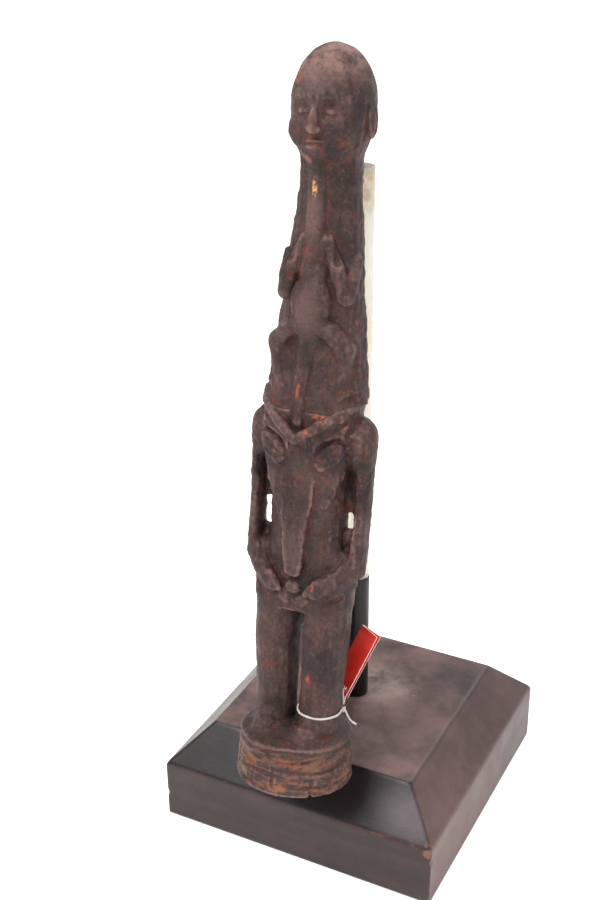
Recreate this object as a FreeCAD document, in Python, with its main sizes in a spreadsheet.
import FreeCAD, Part
import math
import os

import Sketcher
from FreeCAD import Placement, Rotation, Vector

# Carved wooden ancestor figure on a museum-style stand: a bevelled wooden base, a clear
# rod, and a folded paper tag tied round one ankle. Millimetres, +Z up. The origin is the
# centre of the base's underside, and the figure faces -Y.

doc = FreeCAD.newDocument("ancestor_figure")
sheet = doc.addObject("Spreadsheet::Sheet", "Sizes")

UP = Vector(0, 0, 1)
LEVEL_TOLERANCE = 1e-6

SIZES = {
    # base block
    "base_width": 130.0,
    "base_height": 46.8,
    "bevel_inset": 17.0,
    "bevel_rise": 18.0,
    "socket_depth": 26.0,
    # acrylic rod and what holds it
    "rod_radius": 6.0,
    "rod_top": 295.3,
    "rod_x": -1.3,
    "rod_y": 1.2,
    "wrap_thickness": 0.15,
    "wrap_length": 66.0,
    "wrap_slant": 12.0,
    "adhesive_rise": 8.0,
    "adhesive_width": 5.0,
    "adhesive_depth": 4.4,
    "adhesive_z": 286.0,
    "adhesive_y": -6.2,
    # where the figure stands, and how it leans on the rod
    "figure_x": 2.4,
    "figure_y": -67.8,
    "figure_z": 51.6,
    "lean_back": 11.1,
    "lean_side": 1.6,
    # drum that the figure stands on
    "drum_radius": 24.6,
    "drum_rim_radius": 23.4,
    "drum_height": 20.5,
    "drum_crown_radius": 17.0,
    "drum_crown_height": 4.5,
    "groove_radius": 0.8,
    "groove_pitch": 4.2,
    # head
    "head_width": 15.4,
    "head_depth": 17.0,
    "head_half_height": 23.0,
    "head_centre": 275.0,
    # ankle string
    "string_radius": 0.45,
    "clearance": 0.3,
    "ankle_x": 9.9,
    "ankle_height": 31.3,
    "loop_radius": 9.1,
    "knot_radius": 1.5,
    "knot_reach": 10.2,
    "knot_angle": 29.0,
    "tail_radius": 9.0,
    "tail_sweep": 62.0,
    # folded tag
    "tag_width": 9.0,
    "tag_length": 31.0,
    "card_thickness": 0.35,
    "tag_hole_radius": 1.3,
    "tag_hole_inset": 2.4,
    "tag_hole_rise": 3.6,
    "tag_open_angle": 10.0,
    "fold_gap": 0.65,
}

# Stations of the lofted masses of wood, bottom to top, in the figure's own upright frame:
# height, major half axis, minor half axis, centre x, centre y. The major axis lies across
# the figure, and front to back in the crest.
LOFTS = {
    "leg": [
        (22.0, 8.9, 8.9, 9.9, 0.0),
        (31.0, 8.3, 8.3, 9.9, 0.0),
        (45.0, 8.9, 8.9, 10.3, 0.0),
        (62.0, 9.7, 9.7, 10.8, 0.0),
        (84.0, 9.9, 9.9, 10.0, 0.5),
    ],
    "torso": [
        (74.0, 18.6, 9.6, 0.0, 0.5),
        (92.0, 17.6, 11.5, 0.0, 0.5),
        (114.0, 16.6, 12.0, 0.0, 0.5),
        (138.0, 18.6, 12.6, 0.0, 0.5),
        (158.0, 17.0, 12.0, 0.0, 0.5),
    ],
    "headdress": [
        (152.0, 20.0, 13.0, 0.0, 0.0),
        (164.0, 20.0, 16.8, 0.0, 0.0),
        (184.0, 18.2, 15.6, 0.0, 0.5),
        (206.0, 16.0, 13.4, 0.0, 1.0),
    ],
    "crest": [
        (205.0, 16.0, 15.9, 0.0, -1.0),
        (226.0, 14.2, 13.0, 0.0, 0.0),
        (246.0, 13.6, 10.6, 0.0, 0.0),
        (262.0, 14.0, 11.0, 0.0, 0.0),
    ],
    "beak": [
        (91.0, 3.6, 3.0, 0.0, -12.5),
        (106.0, 4.4, 4.0, 0.0, -12.6),
        (124.0, 5.2, 4.4, 0.0, -12.0),
        (140.0, 6.4, 5.0, 0.0, -10.5),
    ],
}
STATION_FIELDS = ("height", "major", "minor", "x", "y")
QUARTER_TURN = 90.0


def fill_sheet():
    """Writes every driving dimension into the sheet, one alias to a row."""
    cells = dict(SIZES)
    for loft_name, stations in LOFTS.items():
        for number, station in enumerate(stations, start=1):
            for field, value in zip(STATION_FIELDS, station):
                cells[f"{loft_name}_{number}_{field}"] = value
    for row, (name, value) in enumerate(cells.items(), start=1):
        sheet.set(f"A{row}", name)
        sheet.set(f"B{row}", str(value))
        sheet.setAlias(f"B{row}", name)
    doc.recompute()


def size(name):
    """A driving dimension as a number, for places that expressions don't reach."""
    return float(getattr(sheet, name))


def bind(item, **expressions):
    """Ties an object's properties to expressions on the sheet."""
    for prop, expression in expressions.items():
        item.setExpression(prop, expression)
    return item


def make(kind, name, at=Vector(), turn=Rotation(), **expressions):
    """A Part primitive at a place, its sizes bound to the sheet."""
    item = bind(doc.addObject(f"Part::{kind}", name), **expressions)
    item.Placement = Placement(at, turn)
    return item


def fuse(name, shapes):
    item = doc.addObject("Part::MultiFuse", name)
    item.Shapes = shapes
    return item


def cut(name, base, tool):
    item = doc.addObject("Part::Cut", name)
    item.Base = base
    item.Tool = tool
    return item


def new_body(name):
    return doc.addObject("PartDesign::Body", name)


def sketch_on(body, name, height="0"):
    """A sketch parallel to the body's XY plane, at a height bound to the sheet."""
    plane = next(f for f in body.Origin.OriginFeatures if f.Role == "XY_Plane")
    sketch = body.newObject("Sketcher::SketchObject", name)
    sketch.AttachmentSupport = [(plane, "")]
    sketch.MapMode = "FlatFace"
    sketch.setExpression("AttachmentOffset.Base.z", height)
    return sketch


def draw_circle(sketch, radius, x="0", y="0"):
    """A circle in a sketch, its radius and centre bound to the sheet."""
    edge = sketch.addGeometry(Part.Circle(Vector(), UP, 1.0), False)
    limits = [
        (Sketcher.Constraint("Radius", edge, 1.0), radius),
        (Sketcher.Constraint("DistanceX", -1, 1, edge, 3, 0.0), x),
        (Sketcher.Constraint("DistanceY", -1, 1, edge, 3, 0.0), y),
    ]
    for constraint, expression in limits:
        row = sketch.addConstraint(constraint)
        sketch.setExpression(f"Constraints[{row}]", expression)


def draw_square(sketch, width):
    """A square centred on the sketch's origin."""
    reach = size("base_width") / 2
    corners = [(-reach, -reach), (reach, -reach), (reach, reach), (-reach, reach)]
    points = [Vector(x, y, 0) for x, y in corners]
    for start, end in zip(points, points[1:] + points[:1]):
        sketch.addGeometry(Part.LineSegment(start, end), False)
    for edge in range(4):
        following = (edge + 1) % 4
        level = "Vertical" if edge % 2 else "Horizontal"
        sketch.addConstraint(Sketcher.Constraint("Coincident", edge, 2, following, 1))
        sketch.addConstraint(Sketcher.Constraint(level, edge))
    sketch.addConstraint(Sketcher.Constraint("Symmetric", 0, 1, 1, 2, -1, 1))
    for kind, edge in (("DistanceX", 0), ("DistanceY", 1)):
        row = sketch.addConstraint(Sketcher.Constraint(kind, edge, 1, edge, 2, 2 * reach))
        sketch.setExpression(f"Constraints[{row}]", width)


def pad(body, name, sketch, length):
    feature = body.newObject("PartDesign::Pad", name)
    feature.Profile = sketch
    return bind(feature, Length=length)


def pocket(body, name, sketch, length):
    """A pocket that has to remove material."""
    doc.recompute()
    before = body.Shape.Volume
    feature = body.newObject("PartDesign::Pocket", name)
    feature.Profile = sketch
    bind(feature, Length=length)
    doc.recompute()
    if body.Shape.Volume >= before:
        raise RuntimeError(f"{name} removes nothing")
    return feature


def level_edges(shape, height):
    """Names of the edges that lie at one height."""
    names = []
    for number, edge in enumerate(shape.Edges, start=1):
        if all(abs(v.Z - height) < LEVEL_TOLERANCE for v in edge.Vertexes):
            names.append(f"Edge{number}")
    return names


def chamfer(body, name, height, inset, rise):
    doc.recompute()
    base = body.Tip
    feature = body.newObject("PartDesign::Chamfer", name)
    feature.Base = (base, level_edges(base.Shape, height))
    feature.ChamferType = "Two distances"
    return bind(feature, Size=inset, Size2=rise)


# ---- stand ---------------------------------------------------------------------------

# The wrap's slanting cut is tipped about this level line.
WRAP_KNIFE_AXIS = Vector(0.4, 1, 0)


def make_base():
    """Square block, bevelled all round, with a blind socket for the rod."""
    body = new_body("base_block")
    outline = sketch_on(body, "base_outline")
    draw_square(outline, "Sizes.base_width")
    pad(body, "base_pad", outline, "Sizes.base_height")
    chamfer(body, "base_bevel", size("base_height"), "Sizes.bevel_rise", "Sizes.bevel_inset")
    socket = sketch_on(body, "socket_circle", "Sizes.base_height")
    draw_circle(socket, "Sizes.rod_radius", "Sizes.rod_x", "Sizes.rod_y")
    pocket(body, "rod_socket", socket, "Sizes.socket_depth")
    return body


def make_rod():
    """Clear rod, standing on the floor of its socket."""
    body = new_body("support_rod")
    outline = sketch_on(body, "rod_circle")
    draw_circle(outline, "Sizes.rod_radius")
    pad(body, "rod_pad", outline, "Sizes.rod_top - Sizes.base_height + Sizes.socket_depth")
    foot = size("base_height") - size("socket_depth")
    body.Placement.Base = Vector(size("rod_x"), size("rod_y"), foot)
    return body


def make_rod_wrap():
    """Thin black wrap round the rod's foot, cut off at a slant along its top edge."""
    at = Vector(size("rod_x"), size("rod_y"), size("base_height"))
    outer = make(
        "Cylinder",
        "wrap_outside",
        Radius="Sizes.rod_radius + Sizes.wrap_thickness",
        Height="Sizes.wrap_length",
    )
    inner = make("Cylinder", "wrap_bore", Radius="Sizes.rod_radius", Height="Sizes.wrap_length")
    sleeve = cut("wrap_sleeve", outer, inner)
    top = Vector(0, 0, size("wrap_length") - size("rod_radius") / 2)
    knife = make(
        "Cylinder",
        "wrap_knife",
        top,
        Rotation(WRAP_KNIFE_AXIS, size("wrap_slant")),
        Radius="Sizes.rod_radius * 2",
        Height="Sizes.rod_radius * 2",
    )
    wrap = cut("rod_wrap", sleeve, knife)
    wrap.Placement = Placement(at, Rotation())
    return wrap


def make_adhesive():
    """Bead of adhesive between the rod's upper end and the back of the neck."""
    at = Vector(size("rod_x"), size("adhesive_y"), size("adhesive_z"))
    bead = make(
        "Ellipsoid",
        "adhesive_bead",
        at,
        Radius1="Sizes.adhesive_rise",
        Radius2="Sizes.adhesive_width",
        Radius3="Sizes.adhesive_depth",
    )
    bore = make(
        "Cylinder",
        "adhesive_bore",
        Vector(size("rod_x"), size("rod_y"), size("base_height")),
        Radius="Sizes.rod_radius",
    )
    bore.setExpression("Height", "Sizes.rod_top - Sizes.base_height")
    return cut("neck_adhesive", bead, bore)


# ---- figure --------------------------------------------------------------------------


def ellipse_loft(name, side=1, deep=False):
    """A lofted mass of wood through the ellipses of one LOFTS list.

    The major axis lies across the figure, or front to back for a deep one."""
    turn = Rotation(UP, QUARTER_TURN if deep else 0.0)
    label = f"{name}_left" if side > 0 else f"{name}_right"
    rings = []
    for number in range(1, len(LOFTS[name]) + 1):
        cell = f"Sizes.{name}_{number}"
        ring = doc.addObject("Part::Ellipse", f"{label}_ring_{number}")
        ring.Placement.Rotation = turn
        bind(ring, MajorRadius=f"{cell}_major", MinorRadius=f"{cell}_minor")
        ring.setExpression("Placement.Base.x", f"{side} * {cell}_x")
        ring.setExpression("Placement.Base.y", f"{cell}_y")
        ring.setExpression("Placement.Base.z", f"{cell}_height")
        rings.append(ring)
    mass = doc.addObject("Part::Loft", label)
    mass.Sections = rings
    mass.Solid = True
    return mass


def blob(name, centre, half_width, half_depth, half_height):
    """A rounded mass: an ellipsoid."""
    item = make("Ellipsoid", name, Vector(*centre))
    item.Radius1 = half_height
    item.Radius2 = half_width
    item.Radius3 = half_depth
    return item


def limb(name, start, end, radius):
    """A rounded bar between two points: an ellipsoid whose long axis joins them."""
    first = Vector(*start)
    last = Vector(*end)
    run = last - first
    bar = make("Ellipsoid", name, (first + last) * 0.5, Rotation(UP, run))
    bar.Radius1 = run.Length / 2 + radius
    bar.Radius2 = radius
    bar.Radius3 = radius
    return bar


def limb_pair(name, start, end, radius):
    """A limb on the figure's left and its mirror image on the right."""
    pair = []
    for side, word in ((1, "left"), (-1, "right")):
        sided = [(side * x, y, z) for x, y, z in (start, end)]
        pair.append(limb(f"{name}_{word}", *sided, radius))
    return pair


def make_drum():
    """Round drum with rough grooves and a sloping crown, turned from one profile."""
    foot = size("drum_radius")
    rim = size("drum_rim_radius")
    height = size("drum_height")
    bite = size("groove_radius")
    outline = [(0, 0), (foot - bite, 0), (foot, bite)]
    for step in range(1, 5):
        level = step * size("groove_pitch")
        wall = foot + (rim - foot) * level / height
        outline += [(wall, level - bite), (wall - bite, level), (wall, level + bite)]
    crown = height + size("drum_crown_height")
    outline += [(rim, height), (size("drum_crown_radius"), crown), (0, crown), (0, 0)]
    drum = doc.addObject("Part::Feature", "drum")
    profile = Part.Face(Part.makePolygon([Vector(x, 0, z) for x, z in outline]))
    drum.Shape = profile.revolve(Vector(), UP, 360)
    return drum


def make_small_figure():
    """The little figure in relief on the front of the headdress."""
    return [
        blob("small_trunk", (0, -10.6, 205.0), 8.0, 5.0, 24.0),
        limb("small_crest", (0, -11.3, 220.0), (0, -10.9, 254.0), 3.8),
        *limb_pair("small_upper_arm", (5.0, -10.0, 229.0), (13.4, -5.5, 216.0), 4.2),
        *limb_pair("small_forearm", (13.8, -6.0, 216.5), (7.5, -12.4, 200.0), 3.9),
        *limb_pair("small_thigh", (5.0, -11.6, 190.0), (12.9, -9.6, 177.0), 5.2),
        *limb_pair("small_shin", (12.7, -10.2, 178.0), (4.2, -15.6, 163.0), 4.6),
    ]


def make_mask():
    """Long beak of the mask face, and the three bosses below its tip."""
    masses = [ellipse_loft("beak"), blob("boss_knob", (0, -11.0, 87.2), 3.2, 3.2, 3.4)]
    for side, word in ((1, "left"), (-1, "right")):
        masses.append(blob(f"boss_{word}", (side * 2.8, -10.2, 81.8), 3.0, 3.1, 3.3))
    return masses


def make_arms_and_hands():
    """Straight arms standing clear of the waist, and forearms that close on the belly."""
    masses = []
    for side, word in ((1, "left"), (-1, "right")):
        masses.append(blob(f"arm_{word}", (side * 23.3, 0.4, 120.0), 3.3, 5.6, 31.0))
        masses.append(blob(f"shoulder_{word}", (side * 20.2, 0.5, 146.0), 5.9, 7.7, 12.0))
        masses.append(blob(f"forearm_{word}", (side * 14.3, -4.6, 91.4), 9.2, 6.1, 5.2))
    return masses


def make_head():
    """Large domed head with ears, a nose and lips, all plain round masses."""
    middle = size("head_centre")
    head = make(
        "Ellipsoid",
        "head",
        Vector(0, 0, middle),
        Radius1="Sizes.head_half_height",
        Radius2="Sizes.head_width",
        Radius3="Sizes.head_depth",
    )
    nose = limb("nose", (0, -15.1, middle + 1.0), (0, -16.2, middle - 7.0), 2.9)
    lips = blob("lips", (0, -13.2, middle - 12.6), 4.4, 2.4, 1.9)
    ears = [
        blob(f"ear_{word}", (side * 14.4, 1.0, middle - 4.0), 2.6, 4.2, 7.0)
        for side, word in ((1, "left"), (-1, "right"))
    ]
    return [head, nose, lips, *ears]


def make_cuts():
    """Eye hollows of the head and the pits in the relief."""
    middle = size("head_centre")
    tools = []
    for side, word in ((1, "left"), (-1, "right")):
        tools.append(blob(f"eye_{word}", (side * 6.4, -15.6, middle + 1.5), 3.6, 3.6, 3.8))
        tools.append(blob(f"pit_{word}", (side * 13.0, -12.5, 191.0), 3.4, 5.0, 7.0))
    tools.append(blob("lap_pit", (0, -17.0, 175.0), 3.4, 7.0, 8.0))
    return tools


def figure_placement():
    """From the figure's own upright frame to where it stands, leaning back on the rod."""
    turn = Rotation(Vector(0, 1, 0), -size("lean_side"))
    turn = turn.multiply(Rotation(Vector(1, 0, 0), -size("lean_back")))
    return Placement(Vector(size("figure_x"), size("figure_y"), size("figure_z")), turn)


def make_figure():
    """The whole figure: one block of wood."""
    masses = [make_drum()]
    for side in (1, -1):
        masses.append(ellipse_loft("leg", side))
    masses += [ellipse_loft("torso"), ellipse_loft("headdress"), ellipse_loft("crest", deep=True)]
    masses += make_arms_and_hands()
    masses += make_mask()
    masses += make_small_figure()
    masses += make_head()
    figure = cut("carved_figure", fuse("figure_mass", masses), fuse("figure_cuts", make_cuts()))
    figure.Placement = figure_placement()
    return figure


# ---- ankle string and tag ------------------------------------------------------------


def ankle_centre():
    return Vector(size("ankle_x"), 0, size("ankle_height"))


def knot_centre():
    angle = math.radians(size("knot_angle"))
    return ankle_centre() + Vector(math.cos(angle), math.sin(angle), 0) * size("knot_reach")


# Directions of the standing card in the figure's own frame: along its short side, from the
# fold to the free edge, and along its long side, upwards.
CARD_UP = Vector(0.347, 0.153, 0.925).normalize()
CARD_BACKWARD = Vector(0.225, 0.942, -0.24).normalize()
CARD_ACROSS = CARD_BACKWARD.cross(CARD_UP).normalize()
CARD_FRONT = CARD_ACROSS.cross(CARD_UP)
CARD_FREE_CORNER = Vector(17.8, 7.5, 34.8)
# How far the eye of string stands in front of the card, behind it and below it.
EYE_FRONT = 1.1
EYE_BACK = 4.0
EYE_DROP = 1.3
BEND_SWELL = 1.02


def fold_corner():
    return CARD_FREE_CORNER - CARD_ACROSS * size("tag_width")


def card_placement(open_angle=0.0, gap=0.0):
    """A leaf's own frame: X across from the fold, Y up the card, Z towards the front."""
    turn = Rotation(CARD_ACROSS, CARD_UP, CARD_FRONT, "XYZ")
    hinge = Placement(fold_corner() - CARD_FRONT * gap, turn)
    return hinge.multiply(Placement(Vector(), Rotation(Vector(0, 1, 0), open_angle)))


def in_place(local):
    return figure_placement().multiply(local)


def make_leaf(name, placement):
    """One leaf of the folded card, with the hole for the string."""
    leaf = make(
        "Box",
        f"{name}_card",
        Vector(0, 0, -size("card_thickness")),
        Length="Sizes.tag_width",
        Width="Sizes.tag_length",
        Height="Sizes.card_thickness",
    )
    hole = make(
        "Cylinder",
        f"{name}_hole",
        Vector(
            size("tag_width") - size("tag_hole_inset"),
            size("tag_hole_rise"),
            -2 * size("card_thickness"),
        ),
        Radius="Sizes.tag_hole_radius",
        Height="Sizes.card_thickness * 3",
    )
    card = cut(name, leaf, hole)
    card.Placement = in_place(placement)
    return card


def tag_hole():
    across = size("tag_width") - size("tag_hole_inset")
    return fold_corner() + CARD_ACROSS * across + CARD_UP * size("tag_hole_rise")


def make_loop():
    """Loop of string round the figure's left ankle."""
    loop = make(
        "Torus", "string_loop", Radius1="Sizes.loop_radius", Radius2="Sizes.string_radius"
    )
    loop.Placement = in_place(Placement(ankle_centre(), Rotation()))
    return loop


def make_knot():
    knot = make("Sphere", "string_knot", Radius="Sizes.knot_radius")
    knot.Placement = in_place(Placement(knot_centre(), Rotation()))
    return knot


def make_tail():
    """Short free end of the string, curling down from the knot onto the drum."""
    tail = make(
        "Torus",
        "string_tail",
        Radius1="Sizes.tail_radius",
        Radius2="Sizes.string_radius",
        Angle3="Sizes.tail_sweep",
    )
    angle = math.radians(size("knot_angle"))
    outward = Vector(math.cos(angle), math.sin(angle), 0)
    turn = Rotation(outward * -1, UP * -1, outward.cross(UP) * -1, "XYZ")
    centre = knot_centre() + outward * size("tail_radius")
    tail.Placement = in_place(Placement(centre, turn))
    return tail


def in_card_frame(point):
    return card_placement().inverse().multVec(point)


def make_eye():
    """Small eye of string, from just above the knot through the card's two holes."""
    radius = size("string_radius")
    hole = in_card_frame(tag_hole())
    knot = in_card_frame(knot_centre())
    front = hole + Vector(0, 0, EYE_FRONT)
    back = hole - Vector(0, 0, EYE_BACK)
    under = Vector(back.x, -EYE_DROP, back.z)
    reach = size("knot_radius") + size("clearance") + radius
    foot = knot + (front - knot).normalize() * reach
    runs = []
    path = [foot, front, back, under, foot]
    for number, (start, end) in enumerate(zip(path, path[1:]), start=1):
        run = make(
            "Cylinder",
            f"eye_run_{number}",
            start,
            Rotation(UP, end - start),
            Radius="Sizes.string_radius",
        )
        run.Height = (end - start).Length
        bend = make("Sphere", f"eye_bend_{number}", start)
        bend.Radius = radius * BEND_SWELL
        runs += [run, bend]
    eye = fuse("string_eye", runs)
    eye.Placement = in_place(card_placement())
    return eye


# ---- build, check and write ----------------------------------------------------------


def build():
    fill_sheet()
    parts = [
        make_base(),
        make_rod(),
        make_rod_wrap(),
        make_adhesive(),
        make_figure(),
        make_loop(),
        make_knot(),
        make_tail(),
        make_eye(),
        make_leaf("tag_front_leaf", card_placement()),
        make_leaf("tag_back_leaf", card_placement(size("tag_open_angle"), size("fold_gap"))),
    ]
    doc.recompute()
    return parts


def check(parts):
    """Stops before anything is written if a feature failed or a shape isn't sound."""
    for item in doc.Objects:
        if {"Invalid", "Error"} & set(item.State):
            raise RuntimeError(f"{item.Name} failed: {item.State}")
    for part in parts:
        shape = part.Shape
        if shape.isNull() or not shape.isValid():
            raise RuntimeError(f"{part.Label} has no sound shape")


def write(parts):
    os.makedirs("parts", exist_ok=True)
    for part in parts:
        part.Shape.exportStep(f"parts/{part.Label}.step")
        box = part.Shape.BoundBox
        print(
            f"{part.Label:16s} solids {len(part.Shape.Solids)}"
            f" volume {part.Shape.Volume:10.1f}"
            f" x {box.XMin:7.2f} {box.XMax:7.2f} y {box.YMin:7.2f} {box.YMax:7.2f}"
            f" z {box.ZMin:7.2f} {box.ZMax:7.2f}"
        )


def print_joints():
    """The joint places and axes, for the record."""
    frame = figure_placement()
    places = {
        "ankle": (ankle_centre(), UP),
        "knot": (knot_centre(), CARD_ACROSS * -1),
        "fold": (fold_corner(), CARD_UP),
    }
    for name, (point, axis) in places.items():
        place = frame.multVec(point)
        direction = frame.Rotation.multVec(axis)
        print(name, [round(v, 3) for v in place], [round(v, 5) for v in direction])


made = build()
check(made)
write(made)
print_joints()
